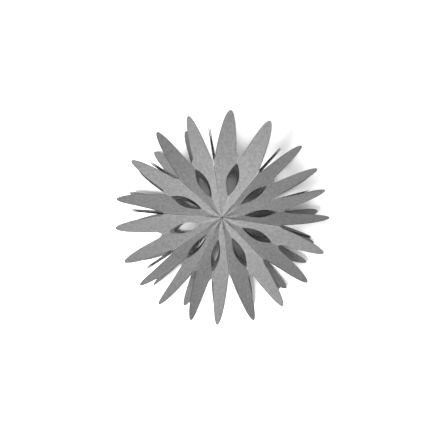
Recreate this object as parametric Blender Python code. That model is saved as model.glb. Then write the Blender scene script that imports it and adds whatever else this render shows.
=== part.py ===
"""Paper snowflake star: ten folded card units, glued side by side round one axis.

Every unit is a flattened tube of six panels: two webs that lie against its neighbours' webs, and
between them, at the front and at the back, a gusset of two half panels that meet in a valley fold.
The folds of a gusset all start at one apex on the axis. Each half panel ends in a leaf, each web ends
in a middle leaf, and a lens-shaped hole is cut across every valley fold. Two strips of double-sided
tape hold each pair of webs together. The star lies on its back leaves, with its axis along Z.
"""

import math

import bmesh
import bpy
from mathutils import Vector

# Openings of the units at the front, clockwise from the first seam, and how far each seam turns
# on its way from the front to the back.
FIRST_SEAM = math.radians(99)
FRONT_OPENINGS = [math.radians(angle) for angle in (48.5, 30.5, 28.5, 37, 37.5, 34, 28.5, 38.5, 37.5, 39.5)]
SEAM_TWISTS = [math.radians(angle) for angle in (0.5, 0.5, -1, 3, 6, 0, -5, 4, -4, 7.5)]

# Folds: the spacing of the two apexes, the rise of the corner folds, and how much wider than the
# widest opening a gusset is.
APEX_SPACING = 0.056
CORNER_RISE = math.radians(10)
GUSSET_SLACK = math.radians(1.5)

# Leaves and the edges between them. The root radius is measured along the card from a gusset's apex.
LEAF_ROOT_RADIUS = 0.035
LEAF_LENGTH = 0.035
MIDDLE_LEAF_LENGTH = 0.029
LEAF_FOLD_CLEARANCE = 0.0003
LEAF_TAPER = 1.6
LEAF_ROUNDNESS = 0.58
SEAM_NOTCH_SETBACK = 0.003
VALLEY_NOTCH_SETBACK = 0.0065
NOTCH_LENGTH = 0.003
SHOULDER_DIP = 0.004
SHOULDER_MARGIN = 0.002

# Lens-shaped holes on the valley folds, and the bridge of card beyond each.
HOLE_BRIDGE = 0.0047
HOLE_LENGTH = 0.0221
HOLE_DEPTH = 0.0043
HOLE_ROUNDNESS = 0.85

# Sheet thicknesses, tape strips and clearances.
CARD_THICKNESS = 0.0003
TAPE_THICKNESS = 0.00015
TAPE_WIDTH = 0.006
SPINE_TAPE_RADIUS = 0.006
SPINE_TAPE_MARGIN = 0.005
MIDDLE_TAPE_MARGIN = 0.008
TOUCH_GAP = 0.0003
SPINE_CLEARANCE = 0.00015
MERGE_DISTANCE = 0.00001

# Straight steps in each curve, and rows and columns in each sheet.
LEAF_STEPS = 9
HOLE_STEPS = 8
SHOULDER_STEPS = 5
SHOULDER_ROWS = 2
WEB_COLUMNS = 3
TAPE_STEPS = 4

UNIT_COUNT = len(FRONT_OPENINGS)
FRONT_SEAMS = [FIRST_SEAM - sum(FRONT_OPENINGS[:index]) for index in range(UNIT_COUNT + 1)]
BACK_SEAMS = [seam + twist for seam, twist in zip(FRONT_SEAMS, SEAM_TWISTS + SEAM_TWISTS[:1])]
BACK_OPENINGS = [left - right for left, right in zip(BACK_SEAMS, BACK_SEAMS[1:])]
HALF_PANEL_ANGLE = max(FRONT_OPENINGS + BACK_OPENINGS) / 2 + GUSSET_SLACK

LEAF_TIP_RADIUS = LEAF_ROOT_RADIUS + LEAF_LENGTH
MIDDLE_LEAF_TIP_RADIUS = LEAF_ROOT_RADIUS + MIDDLE_LEAF_LENGTH
LEAF_HALF_WIDTH = LEAF_ROOT_RADIUS * math.tan(HALF_PANEL_ANGLE / 2) - LEAF_FOLD_CLEARANCE
SEAM_NOTCH_RADIUS = LEAF_ROOT_RADIUS + SEAM_NOTCH_SETBACK
VALLEY_NOTCH_RADIUS = LEAF_ROOT_RADIUS + VALLEY_NOTCH_SETBACK
WEB_GRID_RADIUS = LEAF_ROOT_RADIUS - SHOULDER_DIP - SHOULDER_MARGIN
HOLE_OUTER_RADIUS = VALLEY_NOTCH_RADIUS - HOLE_BRIDGE
HOLE_INNER_RADIUS = HOLE_OUTER_RADIUS - HOLE_LENGTH
WEB_SPACING = TAPE_THICKNESS + 2 * TOUCH_GAP


def direction(azimuth, rise=0.0):
    """The unit vector at this azimuth, tilted up by rise."""
    return Vector((math.cos(azimuth) * math.cos(rise), math.sin(azimuth) * math.cos(rise), math.sin(rise)))


def valley_rise(half_opening):
    """The rise of a valley fold that stays one half panel's angle away from both corner folds."""
    across = math.cos(CORNER_RISE) * math.cos(half_opening)
    up = math.sin(CORNER_RISE)
    return math.atan2(up, across) - math.acos(math.cos(HALF_PANEL_ANGLE) / math.hypot(up, across))


def leaf_edge(start, tip):
    """Points (radius, half width) along a leaf's edge, closer together towards its round tip."""
    points = []
    for step in range(LEAF_STEPS):
        radius = tip - (tip - start) * (1 - step / LEAF_STEPS) ** 2
        share = (radius - LEAF_ROOT_RADIUS) / (tip - LEAF_ROOT_RADIUS)
        points.append((radius, LEAF_HALF_WIDTH * (1 - share**LEAF_TAPER) ** LEAF_ROUNDNESS))
    return points


def hole_edge():
    """Points (radius, depth) along half a hole, from its outer end to its inner end."""
    points = []
    for step in range(HOLE_STEPS + 1):
        share = step / HOLE_STEPS
        radius = HOLE_OUTER_RADIUS + (HOLE_INNER_RADIUS - HOLE_OUTER_RADIUS) * share
        points.append((radius, HOLE_DEPTH * abs(math.sin(math.pi * share)) ** HOLE_ROUNDNESS))
    return points


def column_radii(start):
    """Radii of the web's columns, from the spine to the end of its grid."""
    return [start + (WEB_GRID_RADIUS - start) * column / WEB_COLUMNS for column in range(WEB_COLUMNS + 1)]


def add_face(mesh, points, outward):
    """Adds one face through these points, turned to face outward."""
    face = mesh.faces.new([mesh.verts.new(point) for point in points])
    face.normal_update()
    if face.normal.dot(outward) < 0:
        face.normal_flip()


def half_panel_outline(start):
    """A half panel's outline, as (along the leaf's axis, across it towards the valley fold)."""
    half = HALF_PANEL_ANGLE / 2
    along, across = math.cos(half), math.sin(half)
    outline = [(radius * along, -radius * across) for radius in column_radii(start) + [SEAM_NOTCH_RADIUS]]
    seam_edge = leaf_edge(SEAM_NOTCH_RADIUS * along + NOTCH_LENGTH, LEAF_TIP_RADIUS)
    valley_edge = leaf_edge(VALLEY_NOTCH_RADIUS * along + NOTCH_LENGTH, LEAF_TIP_RADIUS)
    outline += [(radius, -width) for radius, width in seam_edge]
    outline += [(LEAF_TIP_RADIUS, 0.0)]
    outline += [(radius, width) for radius, width in reversed(valley_edge)]
    for radius, depth in [(VALLEY_NOTCH_RADIUS, 0.0), *hole_edge(), (start, 0.0)]:
        outline.append((radius * along + depth * across, radius * across - depth * along))
    return outline


def add_half_panel(mesh, apex, corner_azimuth, valley_azimuth, side, start):
    """Adds the half panel between two folds of a gusset; side is 1 at the front and -1 at the back."""
    corner = direction(corner_azimuth, side * CORNER_RISE)
    valley = direction(valley_azimuth, side * valley_rise(abs(valley_azimuth - corner_azimuth)))
    along = (corner + valley).normalized()
    across = (valley - corner).normalized()
    points = [apex + along * x + across * y for x, y in half_panel_outline(start)]
    add_face(mesh, points, Vector((0, 0, side)))


def web_point(front, back, radius, height):
    """A web's point at this radius along its corner folds and this height over the middle of the star.

    front and back are the web's corner folds, each given by its apex and its direction.
    """
    high = front[0] + front[1] * radius
    low = back[0] + back[1] * radius
    return low.lerp(high, (height - low.z) / (high.z - low.z))


def corner_height(radius):
    """Height of a front corner fold at this radius."""
    return APEX_SPACING / 2 + radius * math.sin(CORNER_RISE)


def row_heights(radius):
    """Heights of a web's rows at this radius, from the front corner fold down to the back one."""
    top = corner_height(radius)
    upper = [top + (LEAF_HALF_WIDTH - top) * row / SHOULDER_ROWS for row in range(SHOULDER_ROWS + 1)]
    return upper + [0.0] + [-height for height in reversed(upper)]


def shoulder_edge():
    """Points (radius, height) along the dipped edge between a corner fold and the middle leaf's root."""
    top = corner_height(SEAM_NOTCH_RADIUS)
    points = []
    for step in range(SHOULDER_STEPS + 1):
        share = step / SHOULDER_STEPS
        radius = SEAM_NOTCH_RADIUS + (LEAF_ROOT_RADIUS - SEAM_NOTCH_RADIUS) * share
        radius -= SHOULDER_DIP * math.sin(math.pi * share)
        points.append((radius, top + (LEAF_HALF_WIDTH - top) * share))
    return points


def add_web(mesh, front, back, outward, start):
    """Adds a web: a grid from the spine outwards, then two shoulders and the halves of the middle leaf."""

    def place(outline):
        add_face(mesh, [web_point(front, back, radius, height) for radius, height in outline], outward)

    columns = column_radii(start)
    for near, far in zip(columns, columns[1:]):
        rows = list(zip(row_heights(near), row_heights(far)))
        for (near_high, far_high), (near_low, far_low) in zip(rows, rows[1:]):
            place([(near, near_high), (far, far_high), (far, far_low), (near, near_low)])

    grid_end = [(WEB_GRID_RADIUS, height) for height in row_heights(WEB_GRID_RADIUS)[: SHOULDER_ROWS + 1]]
    leaf = leaf_edge(LEAF_ROOT_RADIUS, MIDDLE_LEAF_TIP_RADIUS) + [(MIDDLE_LEAF_TIP_RADIUS, 0.0)]
    for side in (1, -1):
        for outline in (shoulder_edge() + grid_end[::-1], leaf + [(WEB_GRID_RADIUS, 0.0), grid_end[-1]]):
            place([(radius, side * height) for radius, height in outline])


def make_gusset(left_seam, right_seam, side):
    """A gusset's apex, and the azimuths of its left corner fold, right corner fold and valley fold.

    The apex is moved out along the valley until both corner folds clear their seams by half a web spacing.
    """
    valley = (left_seam + right_seam) / 2
    apex = direction(valley) * (WEB_SPACING / 2 / math.sin((left_seam - right_seam) / 2))
    apex.z = side * APEX_SPACING / 2
    return apex, left_seam, right_seam, valley


def make_sheet(name, mesh, material, thickness, offset):
    """An object from a drawn surface, thickened inwards (offset -1) or to both sides (offset 0)."""
    bmesh.ops.remove_doubles(mesh, verts=mesh.verts, dist=MERGE_DISTANCE)
    data = bpy.data.meshes.new(name)
    mesh.to_mesh(data)
    mesh.free()
    data.materials.append(material)
    sheet = bpy.data.objects.new(name, data)
    bpy.context.scene.collection.objects.link(sheet)
    solid = sheet.modifiers.new("sheet_thickness", "SOLIDIFY")
    solid.solidify_mode = "NON_MANIFOLD"
    solid.nonmanifold_thickness_mode = "CONSTRAINTS"
    solid.thickness = thickness
    solid.offset = offset
    return sheet


def make_card_unit(index, material):
    """One folded card unit, drawn with its front valley fold along X and then turned into its place."""
    turn = (FRONT_SEAMS[index] + FRONT_SEAMS[index + 1]) / 2
    narrowest = min(FRONT_OPENINGS[index], BACK_OPENINGS[index])
    start = (CARD_THICKNESS + SPINE_CLEARANCE) / math.sin(narrowest / 2)
    mesh = bmesh.new()
    gussets = {}
    for side, seams in ((1, FRONT_SEAMS), (-1, BACK_SEAMS)):
        gussets[side] = make_gusset(seams[index] - turn, seams[index + 1] - turn, side)
        apex, left, right, valley = gussets[side]
        add_half_panel(mesh, apex, left, valley, side, start)
        add_half_panel(mesh, apex, right, valley, side, start)
    for hand, outward_turn in ((1, math.pi / 2), (2, -math.pi / 2)):
        folds = [(gussets[side][0], direction(gussets[side][hand], side * CORNER_RISE)) for side in (1, -1)]
        add_web(mesh, *folds, direction(gussets[1][hand] + outward_turn), start)
    unit = make_sheet(f"card_unit_{index + 1:02d}", mesh, material, CARD_THICKNESS, -1)
    unit.rotation_euler.z = turn
    return unit


def make_tape(name, index, material, rows, columns):
    """A strip of tape on a seam, drawn with the front of the seam along X and then turned into its place.

    rows are the heights at which the strip has vertices, and columns the radii.
    """
    front = (Vector((0, 0, APEX_SPACING / 2)), direction(0, CORNER_RISE))
    back = (Vector((0, 0, -APEX_SPACING / 2)), direction(SEAM_TWISTS[index], -CORNER_RISE))
    mesh = bmesh.new()
    for near, far in zip(columns, columns[1:]):
        for low, high in zip(rows, rows[1:]):
            corners = [(near, low), (far, low), (far, high), (near, high)]
            points = [web_point(front, back, radius, height) for radius, height in corners]
            add_face(mesh, points, direction(-math.pi / 2))
    tape = make_sheet(f"{name}_{index + 1:02d}", mesh, material, TAPE_THICKNESS, 0)
    tape.rotation_euler.z = FRONT_SEAMS[index]
    return tape


def spread(first, last, steps):
    """Evenly spaced values from first to last."""
    return [first + (last - first) * step / steps for step in range(steps + 1)]


def make_material(name, colour, roughness, alpha=1.0):
    """A Principled material with no metal in it."""
    material = bpy.data.materials.new(name)
    material.use_nodes = True
    shader = material.node_tree.nodes["Principled BSDF"]
    shader.inputs["Base Color"].default_value = (*colour, 1.0)
    shader.inputs["Roughness"].default_value = roughness
    shader.inputs["Metallic"].default_value = 0.0
    shader.inputs["Alpha"].default_value = alpha
    return material


def lay_down(pieces):
    """Hangs every piece on one empty, which puts the middle of the underside of the star at the origin."""
    bpy.context.view_layer.update()
    corners = []
    for piece in pieces:
        bounds = piece.evaluated_get(bpy.context.evaluated_depsgraph_get())
        mesh = bounds.to_mesh()
        corners += [piece.matrix_world @ vertex.co for vertex in mesh.vertices]
        bounds.to_mesh_clear()
    lowest = [min(corner[axis] for corner in corners) for axis in range(3)]
    highest = [max(corner[axis] for corner in corners) for axis in range(3)]
    star = bpy.data.objects.new("star", None)
    bpy.context.scene.collection.objects.link(star)
    star.location = (-(lowest[0] + highest[0]) / 2, -(lowest[1] + highest[1]) / 2, -lowest[2])
    for piece in pieces:
        piece.parent = star


def build():
    """Clears the scene and makes the star."""
    for old in list(bpy.data.objects):
        bpy.data.objects.remove(old)
    cardstock = make_material("grey_cardstock", (0.29, 0.29, 0.29), 0.9)
    adhesive = make_material("clear_tape", (0.75, 0.75, 0.72), 0.4, 0.6)
    spine_height = APEX_SPACING / 2 - SPINE_TAPE_MARGIN
    spine_rows = spread(-spine_height, spine_height, TAPE_STEPS)
    spine_columns = [SPINE_TAPE_RADIUS, SPINE_TAPE_RADIUS + TAPE_WIDTH]
    middle_rows = [-TAPE_WIDTH / 2, TAPE_WIDTH / 2]
    middle_tape_end = MIDDLE_LEAF_TIP_RADIUS - MIDDLE_TAPE_MARGIN
    middle_columns = spread(spine_columns[-1] + TOUCH_GAP, middle_tape_end, TAPE_STEPS)
    pieces = []
    for index in range(UNIT_COUNT):
        pieces.append(make_card_unit(index, cardstock))
        pieces.append(make_tape("spine_tape", index, adhesive, spine_rows, spine_columns))
        pieces.append(make_tape("middle_tape", index, adhesive, middle_rows, middle_columns))
    lay_down(pieces)


build()
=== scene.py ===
"""Looks of the paper snowflake star: ten folded card units, taped together side by side round one axis."""

import math

import bpy
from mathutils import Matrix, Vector, noise


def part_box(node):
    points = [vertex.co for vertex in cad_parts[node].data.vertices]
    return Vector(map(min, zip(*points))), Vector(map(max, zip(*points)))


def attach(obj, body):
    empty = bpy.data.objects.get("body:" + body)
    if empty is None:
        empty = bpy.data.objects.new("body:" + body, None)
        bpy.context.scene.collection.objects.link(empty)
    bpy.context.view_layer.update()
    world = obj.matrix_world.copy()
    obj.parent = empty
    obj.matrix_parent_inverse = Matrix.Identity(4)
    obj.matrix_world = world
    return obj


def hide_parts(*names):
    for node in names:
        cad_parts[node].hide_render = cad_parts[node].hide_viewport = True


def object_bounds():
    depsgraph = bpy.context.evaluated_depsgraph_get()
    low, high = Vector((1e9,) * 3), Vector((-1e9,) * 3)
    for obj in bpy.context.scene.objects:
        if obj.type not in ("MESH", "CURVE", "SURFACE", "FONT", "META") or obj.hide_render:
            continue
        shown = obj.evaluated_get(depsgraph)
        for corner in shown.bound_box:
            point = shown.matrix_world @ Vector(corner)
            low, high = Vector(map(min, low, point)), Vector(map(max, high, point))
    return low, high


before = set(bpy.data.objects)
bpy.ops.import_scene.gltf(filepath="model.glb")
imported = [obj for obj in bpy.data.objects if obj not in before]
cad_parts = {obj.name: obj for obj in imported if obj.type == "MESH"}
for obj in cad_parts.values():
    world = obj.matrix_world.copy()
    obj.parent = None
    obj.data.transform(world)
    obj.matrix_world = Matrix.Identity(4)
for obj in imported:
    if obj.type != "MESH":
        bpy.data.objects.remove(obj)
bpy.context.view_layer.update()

# ---------------------------------------------------------------------------------------------------
# The seams. Where two card units meet back to back is a seam: ten of them stand round the axis like
# the leaves of an open book. The tape strips inside them show where each seam and the axis lie.
# ---------------------------------------------------------------------------------------------------
NUMBERS = [name[-2:] for name in sorted(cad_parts) if name.startswith("card_unit_")]
CORNER_RISE = math.radians(10)
SPINE_TAPE_MIDDLE = 0.009
# How far each seam turns on its way from the front of the star to the back.
SEAM_TWISTS = [math.radians(angle) for angle in (0.5, 0.5, -1, 3, 6, 0, -5, 4, -4, 7.5)]


def direction(azimuth, rise=0.0):
    """The unit vector at this azimuth, tilted up by rise."""
    return Vector((math.cos(azimuth) * math.cos(rise), math.sin(azimuth) * math.cos(rise), math.sin(rise)))


def middle_of(node):
    """The middle of a CAD node's box."""
    low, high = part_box(node)
    return (low + high) / 2


seam_azimuths = []
middle = Vector()
for number in NUMBERS:
    spine = middle_of(f"spine_tape_{number}")
    outwards = middle_of(f"middle_tape_{number}") - spine
    seam_azimuths.append(math.atan2(outwards.y, outwards.x))
    middle += spine - direction(seam_azimuths[-1]) * SPINE_TAPE_MIDDLE * math.cos(CORNER_RISE)
middle /= len(NUMBERS)
front_seams = [azimuth - twist / 2 for azimuth, twist in zip(seam_azimuths, SEAM_TWISTS)]
back_seams = [azimuth + twist / 2 for azimuth, twist in zip(seam_azimuths, SEAM_TWISTS)]

# ---------------------------------------------------------------------------------------------------
# Card units. Each is one sheet of grey through-dyed cardstock, die-cut with leaves and lens-shaped
# holes, and folded into a flat tube: two webs that stand against the neighbours, and a front and a
# back gusset of two half panels that dip between them in a valley fold.
# ---------------------------------------------------------------------------------------------------
APEX_SPACING = 0.056
HALF_PANEL_ANGLE = math.radians(25.75)
SEAM_GAP = 0.00012
SEAM_PARTING = math.radians(0.25)
SPINE_START = 0.0002

LEAF_ROOT = 0.035
LEAF_TIP = 0.07
MIDDLE_LEAF_TIP = 0.064
LEAF_HALF_WIDTH = LEAF_ROOT * math.tan(HALF_PANEL_ANGLE / 2) - 0.0003
LEAF_TAPER = 1.45
LEAF_ROUNDNESS = 0.5
SEAM_NOTCH = 0.038
VALLEY_NOTCH = 0.0415
NOTCH_LENGTH = 0.003
SHOULDER_DIP = 0.004

HOLE_INNER = 0.0147
HOLE_OUTER = 0.0368
HOLE_DEPTH = 0.0043
HOLE_ROUNDNESS = 0.85

CARD_THICKNESS = 0.0003
CRUSHED_THICKNESS = 0.12
CRUSH_RADIUS = 0.0025
SOFT_VALLEY = 0.13
WAVE_DEPTH = 0.00014
WAVES_PER_METRE = 70
MERGE_DISTANCE = 0.00001
# Painted shade along the leaves' cut rims: how dark the outermost column and the one inside it are made.
RIM_PAINTED_SHADE = (1.0, 0.5)
# The folds are painted paler, partly from rubbing of the card and partly as a painted highlight where a
# rounded fold would catch the light; this is how much the column beside a fold gets.
WEAR_AND_HIGHLIGHT_BESIDE_FOLD = 0.45

# How each leaf has been bent by handling: curl is how far its tip leans outwards, sway how far it leans
# towards its valley fold, in millimetres, and turn how much its tip is twisted, in degrees.
# One row for each unit: front left, front right, back left, back right.
LEAF_BENDS = [
    [(1.5, 1.1, 0), (1.0, 0.6, 0), (0.0, 0.0, 0), (0.0, 0.0, 0)],
    [(1.3, 0.0, 0), (-0.6, 0.0, 0), (2.3, 0.0, 0), (-2.3, 0.0, 0)],
    [(-2.8, 0.0, 0), (2.0, 0.0, 0), (-3.0, 0.0, 0), (3.5, 2.2, 25)],
    [(2.8, 0.0, 0), (-1.6, 0.0, 0), (1.8, 0.0, 0), (3.5, 1.8, 0)],
    [(1.2, 0.0, 0), (1.2, 0.0, 0), (-4.0, -1.9, 0), (0.0, 0.0, 0)],
    [(2.0, 0.0, 0), (2.1, 0.0, 0), (0.0, 0.0, 0), (-2.0, 0.0, 0)],
    [(3.2, 0.0, 0), (-3.1, 0.0, 0), (-1.2, 0.0, 0), (1.5, 0.0, 0)],
    [(0.9, 0.0, 0), (0.0, 0.0, 0), (1.5, 0.0, 0), (2.0, 0.0, 0)],
    [(-3.4, -2.5, 0), (0.0, 0.0, 0), (0.8, 0.0, 0), (-2.5, -1.5, 0)],
    [(2.2, 0.0, 0), (-0.6, 0.0, 0), (-2.0, -1.2, 0), (1.5, 1.0, 0)],
]
# How far each seam is bowed to its left at the root and at the tip of its middle leaf, in millimetres,
# and how many degrees the middle leaf leans to its left.
SEAM_BOWS = [
    (-1.6, -1.2, 4), (0.3, -0.9, 5), (-1.0, -2.8, 4), (0.0, -6.0, -8), (-2.5, -9.5, -5),
    (-3.0, -9.0, -3), (-1.5, -4.5, -3), (-1.5, -2.9, -2), (0.7, 1.3, 3), (-2.5, 0.0, 11),
]


def spread(first, last, steps):
    """Evenly spaced values from first to last, without last."""
    return [first + (last - first) * step / steps for step in range(steps)]


def ease(share):
    """Zero up to 0, one from 1, and a smooth turn between."""
    share = min(max(share, 0.0), 1.0)
    return share * share * (3 - 2 * share)


def leaf_width(share):
    """Half a leaf's width at this share of the way from its root to its tip."""
    return LEAF_HALF_WIDTH * (1 - min(share, 1.0) ** LEAF_TAPER) ** LEAF_ROUNDNESS


def share_of_fold(radius):
    """How far along the valley fold this radius is."""
    return (radius - SPINE_START) / (VALLEY_NOTCH - SPINE_START)


# The rows of a panel from the spine to the notches, with one at each end of the hole.
hole_start, hole_end = share_of_fold(HOLE_INNER), share_of_fold(HOLE_OUTER)
FOLD_ROWS = spread(0, hole_start, 10) + spread(hole_start, hole_end, 20) + spread(hole_end, 1, 4) + [1.0]
LEAF_ROWS = [1 - (1 - step / 22) ** 2 for step in range(1, 23)]
# The columns across a half panel: narrow beside its folds.
ACROSS = [0, 0.02, 0.07, 0.16, 0.28, 0.4, 0.52, 0.64, 0.76, 0.87, 0.94, 0.98, 1]
# The rows of a web from its front fold to the middle of the star: first the shoulder, then the leaf.
SHOULDER_ROWS = [0, 0.015, 0.06, 0.14, 0.26, 0.4, 0.54, 0.68, 0.82, 0.93, 1]
MIDDLE_LEAF_ROWS = [1 - (1 - step / 15) ** 1.5 for step in range(1, 16)]
WEB_ROWS = [("shoulder", row) for row in SHOULDER_ROWS] + [("leaf", row) for row in MIDDLE_LEAF_ROWS]


def fold_height(radius):
    """Height of a front corner fold above the middle of the star."""
    return APEX_SPACING / 2 + radius * math.sin(CORNER_RISE)


def wave(point):
    """The slow unevenness that handling leaves in the card. It moves whatever lies together alike."""
    return point + noise.noise_vector(point * WAVES_PER_METRE) * WAVE_DEPTH


def valley_rise(half_opening):
    """The rise of a valley fold that stays one half panel's angle away from both corner folds."""
    level = math.cos(CORNER_RISE) * math.cos(half_opening)
    up = math.sin(CORNER_RISE)
    return math.atan2(up, level) - math.acos(math.cos(HALF_PANEL_ANGLE) / math.hypot(up, level))


def gusset(left_seam, right_seam, side):
    """A gusset's apex and the azimuths of its left corner fold, its right one and its valley fold."""
    opening = (left_seam - right_seam) % math.tau - 2 * SEAM_PARTING
    valley = left_seam - SEAM_PARTING - opening / 2
    apex = middle + direction(valley) * (SEAM_GAP / 2 / math.sin(opening / 2))
    apex.z = middle.z + side * APEX_SPACING / 2
    return apex, valley + opening / 2, valley - opening / 2, valley


def panel_point(apex, corner_azimuth, valley_azimuth, side, bend, row, column):
    """A half panel's point, its place on the flat sheet, and whether it is on a fold and on a cut rim."""
    half = HALF_PANEL_ANGLE / 2
    corner = direction(corner_azimuth, side * CORNER_RISE)
    rise = valley_rise(abs(valley_azimuth - corner_azimuth))
    valley = direction(valley_azimuth, side * rise)
    along, across = (corner + valley).normalized(), (valley - corner).normalized()
    normal = along.cross(across)
    normal *= math.copysign(1, normal.z * side)
    share = ACROSS[column]
    lift = 0.0
    if row < len(FOLD_ROWS):
        radius = SPINE_START + (VALLEY_NOTCH - SPINE_START) * FOLD_ROWS[row]
        depth = 0.0
        if HOLE_INNER < radius < HOLE_OUTER:
            swell = math.sin(math.pi * (radius - HOLE_INNER) / (HOLE_OUTER - HOLE_INNER))
            depth = HOLE_DEPTH * swell**HOLE_ROUNDNESS
        corner_radius = SPINE_START + (SEAM_NOTCH - SPINE_START) * FOLD_ROWS[row]
        near = Vector((math.cos(half), -math.sin(half))) * corner_radius
        far = Vector((math.cos(half), math.sin(half))) * radius
        far += Vector((math.sin(half), -math.cos(half))) * depth
        soft = 1 - ease((radius - HOLE_INNER * 0.35) / (HOLE_INNER * 0.65))
        drop = side * radius * (math.sin(CORNER_RISE) - math.sin(rise))
        lift = -soft * drop * (share - share * share) * (1 - SOFT_VALLEY) + soft * drop * SOFT_VALLEY * share
        rim = share == 1 and depth > 0
        fold = 1.0 if share == 0 or (share == 1 and not rim) else WEAR_AND_HIGHLIGHT_BESIDE_FOLD * (column == 1)
    else:
        run = LEAF_ROWS[row - len(FOLD_ROWS)]
        edges = []
        for hand, notch in ((-1, SEAM_NOTCH), (1, VALLEY_NOTCH)):
            root = notch * math.cos(half)
            x = root + (LEAF_TIP - root) * run
            width = leaf_width((x - LEAF_ROOT) / (LEAF_TIP - LEAF_ROOT))
            spare = notch * math.sin(half) - leaf_width((root - LEAF_ROOT) / (LEAF_TIP - LEAF_ROOT))
            width += spare * max(0.0, 1 - (x - root) / NOTCH_LENGTH) ** 2
            edges.append(Vector((x, hand * width)))
        near, far = edges
        from_edge = min(column, len(ACROSS) - 1 - column)
        fold, rim = 0.0, RIM_PAINTED_SHADE[from_edge] if from_edge < len(RIM_PAINTED_SHADE) else 0.0
    flat = near.lerp(far, share)
    curl, sway, turn = bend
    reach = max(0.0, (flat.x - LEAF_ROOT) / (LEAF_TIP - LEAF_ROOT))
    out = curl / 1000 * reach**2 + flat.y * math.tan(math.radians(turn)) * reach**1.5
    point = apex + along * flat.x + across * (flat.y + sway / 1000 * reach**2) + normal * out
    point.z += lift
    return wave(point), flat, float(fold), float(rim)


def bow(seam, radius, height):
    """How far a seam stands to its left at this radius and this height over the middle of the star."""
    root, tip, lean = SEAM_BOWS[seam]
    reach = (radius - LEAF_ROOT) / (MIDDLE_LEAF_TIP - LEAF_ROOT)
    out = root + (tip - root) * reach if reach > 0 else root * (radius / LEAF_ROOT) ** 2
    tilted = height * math.tan(math.radians(lean)) * ease(reach * 4 + 0.5)
    return (out / 1000 + tilted) * (1 - (height / fold_height(radius)) ** 2)


def seam_point(front, back, seam, radius, height):
    """A point between a front and a back fold of one seam, each given by its apex and its direction."""
    high = front[0] + front[1] * radius
    low = back[0] + back[1] * radius
    point = low.lerp(high, (middle.z + height - low.z) / (high.z - low.z))
    return wave(point + direction(seam_azimuths[seam] + math.pi / 2) * bow(seam, radius, height))


def web_point(front, back, seam, row, column):
    """A web's point, its place on the flat sheet, and whether it is on a fold and on a cut rim."""
    last = 2 * (len(WEB_ROWS) - 1)
    side = 1 if row <= last / 2 else -1
    part, share = WEB_ROWS[min(row, last - row)]
    if part == "shoulder":
        edge = SEAM_NOTCH + (LEAF_ROOT - SEAM_NOTCH) * share - SHOULDER_DIP * math.sin(math.pi * share)
        radius = SPINE_START + (edge - SPINE_START) * FOLD_ROWS[column]
        height = fold_height(radius) + (LEAF_HALF_WIDTH - fold_height(radius)) * share
    else:
        edge = LEAF_ROOT + (MIDDLE_LEAF_TIP - LEAF_ROOT) * share
        radius = SPINE_START + (edge - SPINE_START) * FOLD_ROWS[column]
        height = leaf_width(share)
    point = seam_point(front, back, seam, radius, side * height)
    fold = share == 0 and part == "shoulder"
    return point, Vector((radius, side * height)), float(fold), float(column == len(FOLD_ROWS) - 1)


def select_only(piece):
    """Leaves nothing but this piece selected."""
    bpy.ops.object.select_all(action="DESELECT")
    piece.select_set(True)
    bpy.context.view_layer.objects.active = piece


def drawn_sheet(rows, columns, point_at, outward):
    """A grid of card with point_at(row, column) for each of its points, and its faces turned outward."""
    bpy.ops.object.select_all(action="DESELECT")
    bpy.ops.mesh.primitive_grid_add(x_subdivisions=rows, y_subdivisions=columns, size=2)
    sheet = bpy.context.object
    mesh = sheet.data
    mesh.attributes.new("fold_wear_and_highlight", "FLOAT", "POINT")
    mesh.attributes.new("cut_rim_shade", "FLOAT", "POINT")
    flats = []
    for vertex in mesh.vertices:
        row = round((vertex.co.x + 1) / 2 * rows)
        column = round((vertex.co.y + 1) / 2 * columns)
        point, flat, fold, rim = point_at(row, column)
        vertex.co = point
        mesh.attributes["fold_wear_and_highlight"].data[vertex.index].value = fold
        mesh.attributes["cut_rim_shade"].data[vertex.index].value = rim
        flats.append(flat)
    for loop in mesh.loops:
        mesh.uv_layers.active.data[loop.index].uv = flats[loop.vertex_index]
    mesh.update()
    if sum((polygon.normal for polygon in mesh.polygons), Vector()).dot(outward) < 0:
        select_only(sheet)
        bpy.ops.object.mode_set(mode="EDIT")
        bpy.ops.mesh.select_all(action="SELECT")
        bpy.ops.mesh.flip_normals()
        bpy.ops.object.mode_set(mode="OBJECT")
    return sheet


def thicken(piece, thickness, offset, materials, crushed=None):
    """Gives a drawn sheet its thickness; its cut edges take the second material."""
    for material in materials:
        piece.data.materials.append(material)
    select_only(piece)
    bpy.ops.object.modifier_add(type="SOLIDIFY")
    solid = piece.modifiers[-1]
    solid.solidify_mode = "NON_MANIFOLD"
    solid.nonmanifold_thickness_mode = "CONSTRAINTS"
    solid.thickness = thickness
    solid.offset = offset
    solid.material_offset_rim = len(materials) - 1
    if crushed:
        solid.vertex_group = crushed
        solid.thickness_vertex_group = CRUSHED_THICKNESS
    bpy.ops.object.modifier_apply(modifier=solid.name)
    bpy.ops.object.shade_smooth_by_angle(angle=math.radians(28))


def node(tree, kind, links=(), **settings):
    """Adds a shader node. links gives (its input, the output to join to it or a value)."""
    made = tree.nodes.new(kind)
    for setting, value in settings.items():
        setattr(made, setting, value)
    for socket, source in links:
        if isinstance(source, bpy.types.NodeSocket):
            tree.links.new(source, made.inputs[socket])
        else:
            made.inputs[socket].default_value = source
    return made


def grain(tree, vector, scale, detail):
    """Noise of this scale and detail along a vector output."""
    return node(tree, "ShaderNodeTexNoise", [("Vector", vector), ("Scale", scale), ("Detail", detail)])


# How much painted shade darkens the card, from the start radius out to the leaf tips.
TIP_PAINTED_SHADE = 0.4
TIP_SHADE_START = 0.02


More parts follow.
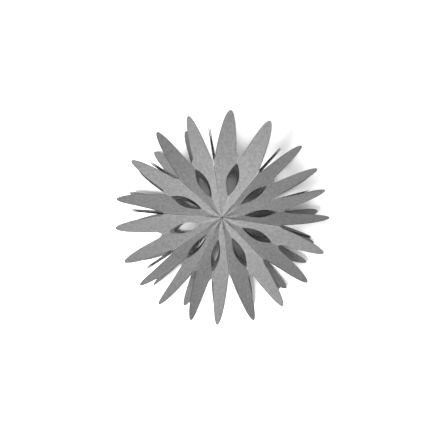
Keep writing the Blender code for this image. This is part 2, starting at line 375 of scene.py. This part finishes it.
def paper(name, dark, light, roughness):
    """Uncoated card: mottled pulp, fine fibres along the sheet, a felt-like tooth, folds whitened partly by
    rubbing and partly by a painted highlight, painted shade darkening the leaves towards their tips, and
    painted shade along the cut rims."""
    material = bpy.data.materials.new(name)
    material.use_nodes = True
    tree = material.node_tree
    shader = tree.nodes["Principled BSDF"]
    place = node(tree, "ShaderNodeTexCoord")
    cloud = grain(tree, place.outputs["Object"], 520.0, 3.0).outputs["Fac"]
    pulp = grain(tree, place.outputs["Object"], 1900.0, 4.0).outputs["Fac"]
    along_sheet = [("Vector", place.outputs["UV"]), ("Scale", (700.0, 5200.0, 1.0))]
    fibre = grain(tree, node(tree, "ShaderNodeMapping", along_sheet).outputs[0], 1.0, 3.0).outputs["Fac"]
    mottle = node(tree, "ShaderNodeMix", [("Factor", 0.5), (2, cloud), (3, pulp)])
    mixed = node(tree, "ShaderNodeMix", [("Factor", 0.35), (2, mottle.outputs[0]), (3, fibre)])
    ramp = node(tree, "ShaderNodeValToRGB", [("Fac", mixed.outputs[0])])
    ramp.color_ramp.elements[0].position = 0.38
    ramp.color_ramp.elements[0].color = (dark, dark, dark, 1)
    ramp.color_ramp.elements[1].position = 0.62
    ramp.color_ramp.elements[1].color = (light, light, light, 1)
    sheet = node(tree, "ShaderNodeSeparateXYZ", [("Vector", place.outputs["UV"])])
    # Painted shade: the card is darkened along the sheet from the start radius out to the leaf tips.
    tip_shade = node(
        tree,
        "ShaderNodeMapRange",
        [("Value", sheet.outputs["X"]), (1, TIP_SHADE_START), (2, LEAF_TIP), (3, 0.0), (4, TIP_PAINTED_SHADE)],
    )
    # Painted highlight mixed with real rubbing: the folds are lightened towards a paler grey.
    worn_and_lit = node(tree, "ShaderNodeAttribute", attribute_name="fold_wear_and_highlight")
    rim_shade = node(tree, "ShaderNodeAttribute", attribute_name="cut_rim_shade")
    wear_and_highlight = node(tree, "ShaderNodeMath", [(0, worn_and_lit.outputs["Fac"]), (1, pulp)], operation="MULTIPLY")
    # Painted shade: the cut rims are darkened towards the shade grey.
    rim_shade_share = [(0, rim_shade.outputs["Fac"]), (1, 0.8)]
    rim_shade_weight = node(tree, "ShaderNodeMath", rim_shade_share, operation="MULTIPLY")
    pale = (light * 1.6, light * 1.6, light * 1.6, 1)
    # The grey that the painted shade at the leaf tips and along the cut rims darkens towards.
    shade_grey = (dark * 0.45, dark * 0.45, dark * 0.45, 1)
    tips = node(
        tree,
        "ShaderNodeMix",
        [("Factor", tip_shade.outputs[0]), (6, ramp.outputs[0]), (7, shade_grey)],
        data_type="RGBA",
    )
    folds = node(
        tree,
        "ShaderNodeMix",
        [("Factor", wear_and_highlight.outputs[0]), (6, tips.outputs[2]), (7, pale)],
        data_type="RGBA",
    )
    colour = node(
        tree,
        "ShaderNodeMix",
        [("Factor", rim_shade_weight.outputs[0]), (6, folds.outputs[2]), (7, shade_grey)],
        data_type="RGBA",
    )
    tree.links.new(colour.outputs[2], shader.inputs["Base Color"])
    tooth = node(
        tree, "ShaderNodeBump", [("Height", mixed.outputs[0]), ("Strength", 0.35), ("Distance", 0.00012)]
    )
    tree.links.new(tooth.outputs[0], shader.inputs["Normal"])
    rough = node(tree, "ShaderNodeMapRange", [("Value", pulp), (3, roughness - 0.06), (4, roughness + 0.06)])
    tree.links.new(rough.outputs[0], shader.inputs["Roughness"])
    shader.inputs["Specular IOR Level"].default_value = 0.25
    return material


cardstock = paper("grey_cardstock", 0.12, 0.23, 0.88)
# The narrow cut edges get a darker grey than the faces: painted shade.
cut_edge = paper("cut_edge_of_cardstock", 0.09, 0.17, 0.92)

for index, number in enumerate(NUMBERS):
    following = (index + 1) % len(NUMBERS)
    gussets = {
        1: gusset(front_seams[index], front_seams[following], 1),
        -1: gusset(back_seams[index], back_seams[following], -1),
    }
    sheets = []
    for place, bend in enumerate(LEAF_BENDS[index]):
        side = 1 if place < 2 else -1
        apex, *azimuths, valley = gussets[side]
        corner = azimuths[place % 2]

        def half_panel(row, column):
            return panel_point(apex, corner, valley, side, bend, row, column)

        rows = len(FOLD_ROWS) + len(LEAF_ROWS) - 1
        sheets.append(drawn_sheet(rows, len(ACROSS) - 1, half_panel, Vector((0, 0, side))))
    for hand, seam, outward_turn in ((1, index, math.pi / 2), (2, following, -math.pi / 2)):
        front = (gussets[1][0], direction(gussets[1][hand], CORNER_RISE))
        back = (gussets[-1][0], direction(gussets[-1][hand], -CORNER_RISE))

        outward = direction(seam_azimuths[seam] + outward_turn)

        def web(row, column):
            return web_point(front, back, seam, row, column)

        sheets.append(drawn_sheet(2 * (len(WEB_ROWS) - 1), len(FOLD_ROWS) - 1, web, outward))
    bpy.ops.object.select_all(action="DESELECT")
    for sheet in sheets:
        sheet.select_set(True)
    bpy.context.view_layer.objects.active = sheets[0]
    bpy.ops.object.join()
    unit = bpy.context.object
    unit.name = f"folded_card_{number}"
    bpy.ops.object.mode_set(mode="EDIT")
    bpy.ops.mesh.select_all(action="SELECT")
    bpy.ops.mesh.remove_doubles(threshold=MERGE_DISTANCE)
    bpy.ops.mesh.select_all(action="DESELECT")
    bpy.ops.object.mode_set(mode="OBJECT")
    wear_and_highlight = unit.data.attributes["fold_wear_and_highlight"].data
    crush = unit.vertex_groups.new(name="uncrushed")
    for vertex in unit.data.vertices:
        vertex.select = wear_and_highlight[vertex.index].value > 0.5
        level = Vector((vertex.co.x - middle.x, vertex.co.y - middle.y))
        crush.add([vertex.index], min(1.0, level.length / CRUSH_RADIUS), "REPLACE")
    bpy.ops.object.mode_set(mode="EDIT")
    bpy.ops.mesh.vertices_smooth(factor=0.5)
    bpy.ops.object.mode_set(mode="OBJECT")
    thicken(unit, CARD_THICKNESS, -1, [cardstock, cut_edge], "uncrushed")
    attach(unit, "root")
    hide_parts(f"card_unit_{number}")

# ---------------------------------------------------------------------------------------------------
# Tape strips. Two strips of clear double-sided tape hold each seam together: one stands along the
# spine, and the other lies across the middle, out into the middle leaf.
# ---------------------------------------------------------------------------------------------------
TAPE_THICKNESS = 0.00012
SPINE_STRIP = (0.006, 0.012, -0.023, 0.023)
MIDDLE_STRIP = (0.0123, 0.056, -0.003, 0.003)
STRIP_STEP = 0.0015


def clear_tape():
    """Clear film with a matt glue that has picked up a little dust."""
    material = bpy.data.materials.new("clear_tape")
    material.use_nodes = True
    tree = material.node_tree
    shader = tree.nodes["Principled BSDF"]
    place = node(tree, "ShaderNodeTexCoord")
    dust = grain(tree, place.outputs["Object"], 900.0, 5.0)
    ramp = node(tree, "ShaderNodeValToRGB", [("Fac", dust.outputs["Fac"])])
    ramp.color_ramp.elements[0].color = (0.62, 0.61, 0.56, 1)
    ramp.color_ramp.elements[1].color = (0.8, 0.79, 0.74, 1)
    tree.links.new(ramp.outputs[0], shader.inputs["Base Color"])
    rough = node(tree, "ShaderNodeMapRange", [("Value", dust.outputs["Fac"]), (3, 0.3), (4, 0.55)])
    tree.links.new(rough.outputs[0], shader.inputs["Roughness"])
    blisters = [("Height", dust.outputs["Fac"]), ("Strength", 0.2), ("Distance", 0.00005)]
    bubbles = node(tree, "ShaderNodeBump", blisters)
    tree.links.new(bubbles.outputs[0], shader.inputs["Normal"])
    shader.inputs["Alpha"].default_value = 0.6
    return material


tape = clear_tape()
for index, number in enumerate(NUMBERS):
    front = (middle + Vector((0, 0, APEX_SPACING / 2)), direction(front_seams[index], CORNER_RISE))
    back = (middle - Vector((0, 0, APEX_SPACING / 2)), direction(back_seams[index], -CORNER_RISE))
    for name, strip in (("spine_tape", SPINE_STRIP), ("middle_tape", MIDDLE_STRIP)):
        near, far, low, high = strip
        steps = [max(2, round(length / STRIP_STEP)) for length in (far - near, high - low)]

        def strip_point(row, column):
            radius = near + (far - near) * row / steps[0]
            height = low + (high - low) * column / steps[1]
            return seam_point(front, back, index, radius, height), Vector((radius, height)), 0.0, 0.0

        piece = drawn_sheet(*steps, strip_point, direction(seam_azimuths[index] + math.pi / 2))
        piece.name = f"{name}_strip_{number}"
        thicken(piece, TAPE_THICKNESS, 0, [tape])
        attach(piece, "root")
        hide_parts(f"{name}_{number}")

# ---------------------------------------------------------------------------------------------------
# The table: a plain white sheet that the star lies on.
# ---------------------------------------------------------------------------------------------------
bpy.ops.mesh.primitive_plane_add(size=6, location=(0, 0, min(0.0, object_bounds()[0].z)))
table = bpy.context.object
table.name = "white_table"
white = bpy.data.materials.new("white_table_paint")
white.use_nodes = True
white.node_tree.nodes["Principled BSDF"].inputs["Base Color"].default_value = (0.93, 0.93, 0.93, 1)
white.node_tree.nodes["Principled BSDF"].inputs["Roughness"].default_value = 0.8
table.data.materials.append(white)

# ---------------------------------------------------------------------------------------------------
# Light: a wide soft box straight overhead fills the shadows, a small one down the left side gives the
# panels their contrast, and a dim white room is all round.
# ---------------------------------------------------------------------------------------------------
world = bpy.data.worlds.new("white_room")
bpy.context.scene.world = world
world.use_nodes = True
world.node_tree.nodes["Background"].inputs["Color"].default_value = (1, 1, 1, 1)
world.node_tree.nodes["Background"].inputs["Strength"].default_value = 0.3


def soft_box(name, place, size, power):
    """A square soft box that points at the middle of the star."""
    bpy.ops.object.light_add(type="AREA", location=middle + Vector(place))
    lamp = bpy.context.object
    lamp.name = name
    lamp.data.size = size
    lamp.data.energy = power
    lamp.rotation_euler = (-Vector(place)).to_track_quat("-Z", "Y").to_euler()


soft_box("overhead_soft_box", (0, 0, 1.1), 2.0, 18)
soft_box("left_soft_box", (-0.43, -0.24, 1.1), 0.24, 21)

# ---------------------------------------------------------------------------------------------------
# Camera: straight above the star, with the star a little right of and above the picture's middle.
# ---------------------------------------------------------------------------------------------------
AIM_RIGHT, AIM_UP = -0.0018, -0.00127
CAMERA_HEIGHT = 0.5237
bpy.ops.object.camera_add(location=(middle.x + AIM_RIGHT, middle.y + AIM_UP, CAMERA_HEIGHT))
camera = bpy.context.object
camera.name = "camera"
camera.data.lens = 57.5
camera.data.clip_start = 0.01
bpy.context.scene.camera = camera
bpy.context.scene.view_settings.view_transform = "Standard"
